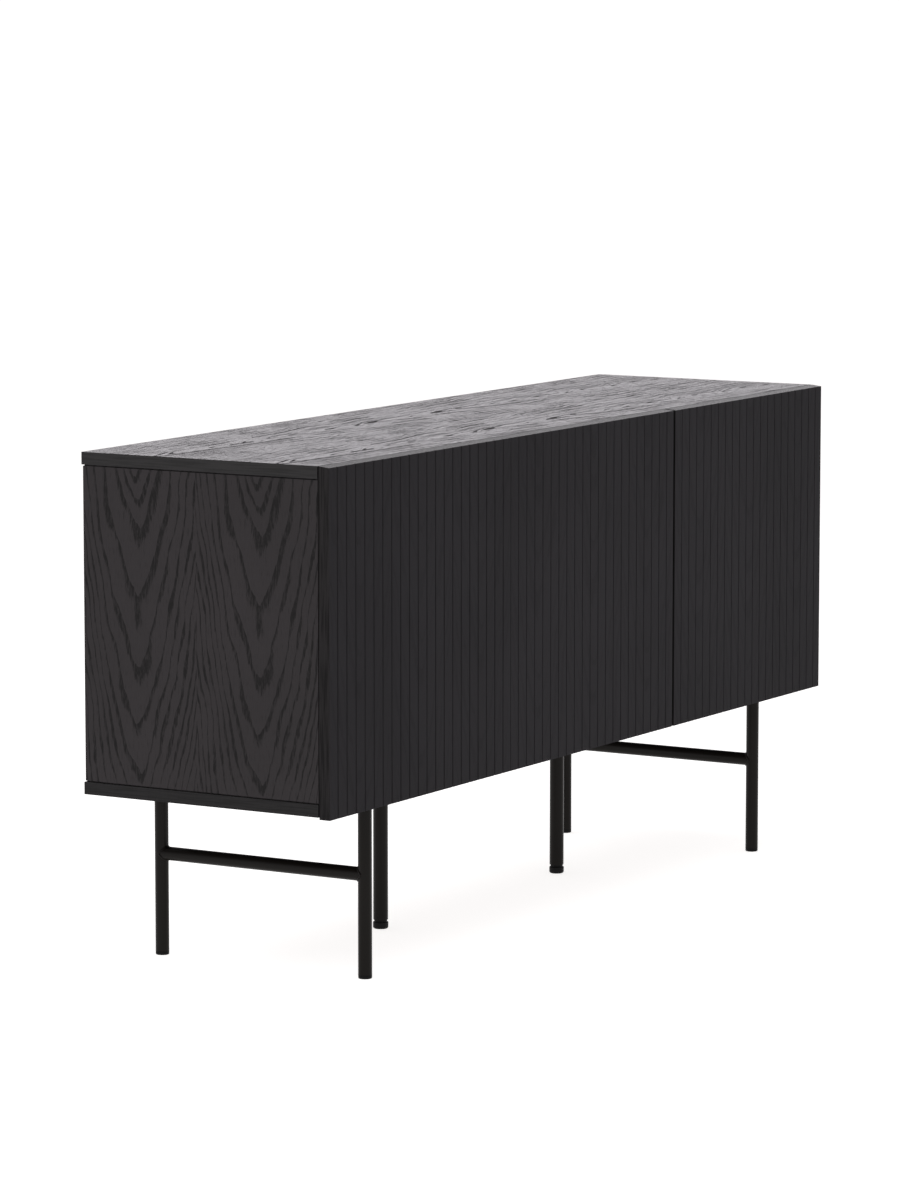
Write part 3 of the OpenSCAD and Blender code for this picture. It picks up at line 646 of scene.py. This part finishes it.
# Radius and height of the head, radius of the shank, and pitch
LEG_SCREW = (4.5 * MM, 2.5 * MM, 2.4 * MM, 1.8 * MM)
PLATE_SCREW = (3.4 * MM, 1.4 * MM, 1.8 * MM, 1.4 * MM)
# Depth of the recess of those screws, as a part of the head's height
RECESS = 0.6
# The screws in a cup's ears: how far inside the flange's edge, and how far above or below
# the cup's middle; their heads cover the plain ones by a little
EAR_INSET = 29.5 * MM
EAR_Z = 24.0 * MM
CUP_HEAD_R = 3.55 * MM
CUP_HEAD_H = 1.4 * MM
CAP_RISE = 0.6 * MM
# The screws in a hinge arm: distance from its back end and radius of the head, the head's
# height, and its recess as a part of that
ARM_SCREWS = ((11.0 * MM, 3.4 * MM), (31.0 * MM, 2.6 * MM))
ARM_HEAD_H = 1.2 * MM
ARM_RECESS = 0.7


def add_piece(name, shape, material, body):
    """Turns a bmesh into a piece that moves with a body."""
    bmesh.ops.recalc_face_normals(shape, faces=shape.faces[:])
    mesh = bpy.data.meshes.new(name)
    shape.to_mesh(mesh)
    shape.free()
    for face in mesh.polygons:
        face.use_smooth = True
    mesh.materials.append(material)
    piece = bpy.data.objects.new(name, mesh)
    bpy.context.collection.objects.link(piece)
    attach(piece, body)
    return piece


def join_rings(shape, first, second, turn=0):
    """Faces between two rings of points, the second one counted from turn."""
    count = len(first)
    for i in range(count):
        j = (i + 1) % count
        shape.faces.new((first[i], first[j], second[(j + turn) % count],
                         second[(i + turn) % count]))


def weld_bead(shape, path):
    """A bead along a closed path, with the ripples that a welder's hand leaves."""
    count = len(path)
    rings = []
    out = None
    for i, point in enumerate(path):
        along = (path[(i + 1) % count] - path[i - 1]).normalized()
        out = along.orthogonal() if out is None else out - along * out.dot(along)
        out.normalize()
        side = along.cross(out)
        size = WELD_R * (1.0 + WELD_RIPPLE * math.sin(math.tau * WELD_RIPPLES * i / count))
        ring = []
        for k in range(BEAD_SIDES):
            turn = math.tau * k / BEAD_SIDES
            ring.append(shape.verts.new(
                point + (out * math.cos(turn) + side * math.sin(turn)) * size))
        rings.append(ring)
    for first, second in zip(rings, rings[1:]):
        join_rings(shape, first, second)
    # The last ring meets the first one turned by some whole number of sides
    last, first = rings[-1], rings[0]
    turn = min(range(BEAD_SIDES), key=lambda k: (last[0].co - first[k].co).length)
    join_rings(shape, last, first, turn)


def rail_weld(shape, joint, toward, radius):
    """The bead where a rail meets a leg of the same size; joint is where their axes cross."""
    path = []
    for i in range(WELD_STEPS):
        turn = math.tau * i / WELD_STEPS
        away = radius * math.sqrt(math.cos(turn) ** 2 + SADDLE_ROUND)
        path.append(
            joint + Vector((radius * math.sin(turn), toward * away, radius * math.cos(turn))))
    weld_bead(shape, path)


def ring_weld(shape, centre, radius):
    """The bead round the top of a leg."""
    path = []
    for i in range(WELD_STEPS):
        turn = math.tau * i / WELD_STEPS
        path.append(centre + Vector((math.cos(turn), math.sin(turn), 0.0)) * radius)
    weld_bead(shape, path)


def add_welds(coat):
    """Beads where the rails meet the legs and round the tops of all legs."""
    for side in ("left", "right"):
        welds = bmesh.new()
        rail_low, rail_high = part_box(side + "_cross_rail")
        for end, toward in (("front", 1.0), ("rear", -1.0)):
            leg_name = side + "_" + end + "_leg"
            leg_low, leg_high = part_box(leg_name)
            leg_r = (leg_high.x - leg_low.x) / 2
            joint = (leg_low + leg_high) / 2
            joint.z = (rail_low.z + rail_high.z) / 2
            rail_weld(welds, joint, toward, leg_r)
            joint.z = leg_high.z
            ring_weld(welds, joint, leg_r + WELD_OFFSET)
        add_piece(side + "_frame_welds", welds, coat, "case")
    support_welds = bmesh.new()
    for side in ("left", "right"):
        leg_low, leg_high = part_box(side + "_support_leg")
        joint = (leg_low + leg_high) / 2
        joint.z = leg_high.z
        ring_weld(support_welds, joint, (leg_high.x - leg_low.x) / 2 + WELD_OFFSET)
    add_piece("support_leg_welds", support_welds, coat, "case")


def ring_round(shape, centre, across, up, radius, turns):
    """A ring of points round a centre."""
    points = []
    for i in range(turns):
        turn = math.tau * i / turns
        points.append(shape.verts.new(
            centre + (across * math.cos(turn) + up * math.sin(turn)) * radius))
    return points


def screw_head(shape, base, axis, radius, height, depth):
    """A domed head with a cross recess, standing on base and pointing along axis."""
    across = axis.orthogonal().normalized()
    up = axis.cross(across)
    long, wide = CROSS[0] * radius, CROSS[1] * radius

    def surface(j, turn):
        """The point on the head's surface on ring j, at an angle."""
        reach = radius * j / HEAD_RINGS
        x, y = reach * math.cos(turn), reach * math.sin(turn)
        dome = height * (RIM + DOME * math.sqrt(max(0.0, 1.0 - (j / HEAD_RINGS) ** DOME_POWER)))
        if abs(x) < long and abs(y) < wide or abs(y) < long and abs(x) < wide:
            dome -= depth * (1.0 - RECESS_RISE * j / HEAD_RINGS / CROSS[0])
        return base + across * x + up * y + axis * dome

    tip = shape.verts.new(surface(0, 0.0))
    rings = [[shape.verts.new(surface(j, math.tau * i / HEAD_TURNS)) for i in range(HEAD_TURNS)]
             for j in range(1, HEAD_RINGS + 1)]
    skirt = ring_round(shape, base, across, up, radius, HEAD_TURNS)
    for i in range(HEAD_TURNS):
        j = (i + 1) % HEAD_TURNS
        shape.faces.new((tip, rings[0][i], rings[0][j]))
        for inner, outer in zip(rings, rings[1:] + [skirt]):
            shape.faces.new((inner[i], inner[j], outer[j], outer[i]))
    shape.faces.new(skirt)


def threaded_shank(shape, base, axis, radius, length, pitch):
    """A screw's shank below its head, with a thread cut as a row of grooves."""
    across = axis.orthogonal().normalized()
    up = axis.cross(across)
    rings = []
    count = max(RINGS_PER_TURN, round(length / pitch * RINGS_PER_TURN))
    for j in range(count + 1):
        depth = length * j / count
        size = radius * (1.0 if j % RINGS_PER_TURN < RINGS_PER_TURN / 2 else THREAD_ROOT)
        size *= min(1.0, (length - depth) / (2.0 * radius) + SHANK_TIP)
        rings.append(ring_round(shape, base - axis * depth, across, up, size, SHANK_TURNS))
    for first, second in zip(rings, rings[1:]):
        join_rings(shape, first, second)
    shape.faces.new(rings[0])
    shape.faces.new(rings[-1])


def islands(name):
    """The boxes of a node's separate solids, each as its low and high corner."""
    mesh = NODES[name].data
    group = list(range(len(mesh.vertices)))

    def root(i):
        while group[i] != i:
            group[i] = group[group[i]]
            i = group[i]
        return i

    # Points in the same place, to 0.01 mm, belong together
    spots = {}
    for vertex in mesh.vertices:
        key = tuple(round(c * 1e5) for c in vertex.co)
        if key in spots:
            group[root(vertex.index)] = root(spots[key])
        spots[key] = vertex.index
    for edge in mesh.edges:
        group[root(edge.vertices[0])] = root(edge.vertices[1])
    boxes = {}
    for vertex in mesh.vertices:
        corner = list(vertex.co)
        low, high = boxes.setdefault(root(vertex.index), (corner[:], corner[:]))
        for axis, value in enumerate(corner):
            low[axis] = min(low[axis], value)
            high[axis] = max(high[axis], value)
    return [(Vector(low), Vector(high)) for low, high in boxes.values()]


def bay_axis(x):
    """The direction along X from a place towards the middle of its bay."""
    bay = min(BAY_MIDDLES, key=lambda middle: abs(middle - x))
    return Vector((math.copysign(1.0, bay - x), 0.0, 0.0))


def stand_screws(node, axis_index, zinc, size):
    """Stands detailed screws in the places of a node's plain ones.

    Those along Z have their heads below, and those along X towards the middle of the bay."""
    head_r, head_h, shank_r, pitch = size
    shape = bmesh.new()
    for low, high in islands(node):
        base = (low + high) / 2
        axis = Vector((0.0, 0.0, -1.0)) if axis_index == 2 else bay_axis(base.x)
        head_end = high[axis_index] if axis[axis_index] > 0 else low[axis_index]
        base[axis_index] = head_end - axis[axis_index] * head_h
        screw_head(shape, base, axis, head_r, head_h, head_h * RECESS)
        length = high[axis_index] - low[axis_index] - head_h
        threaded_shank(shape, base, axis, shank_r, length, pitch)
    piece = add_piece(node + "_detail", shape, zinc, "case")
    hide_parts(node)


def add_hinge_screws(zinc):
    """Two screw heads in the ears of each cup and two in each hinge arm."""
    for side in SIDES:
        heads = bmesh.new()
        for low, high in islands(side + "_hinge_cups"):
            x = low.x + EAR_INSET if side == "left" else high.x - EAR_INSET
            for away in (-EAR_Z, EAR_Z):
                base = Vector((x, high.y - CUP_HEAD_H, (low.z + high.z) / 2 + away))
                screw_head(heads, base, Vector((0.0, 1.0, 0.0)), CUP_HEAD_R,
                           CUP_HEAD_H + CAP_RISE, CAP_RISE)
        add_piece(side + "_cup_screw_heads", heads, zinc, side + "_door")
    heads = bmesh.new()
    for low, high in islands("hinge_arms"):
        axis = bay_axis(low.x)
        face_x = high.x if axis.x > 0 else low.x
        for from_back, radius in ARM_SCREWS:
            base = Vector((face_x, high.y - from_back, (low.z + high.z) / 2))
            screw_head(heads, base, axis, radius, ARM_HEAD_H, ARM_HEAD_H * ARM_RECESS)
    add_piece("arm_screw_heads", heads, zinc, "case")


make_camera()
make_floor()
make_sky()
for settings in SOFTBOXES:
    softbox(*settings)

coat_material = powder_coat()
zinc_material = metal("zinc", (0.50, 0.51, 0.50), 0.28, 0.42, 1200.0)
dress_case()
dress_doors()
dress_hardware(coat_material, zinc_material)
add_welds(coat_material)
stand_screws("leg_screws", 2, zinc_material, LEG_SCREW)
stand_screws("plate_screws", 0, zinc_material, PLATE_SCREW)
add_hinge_screws(zinc_material)
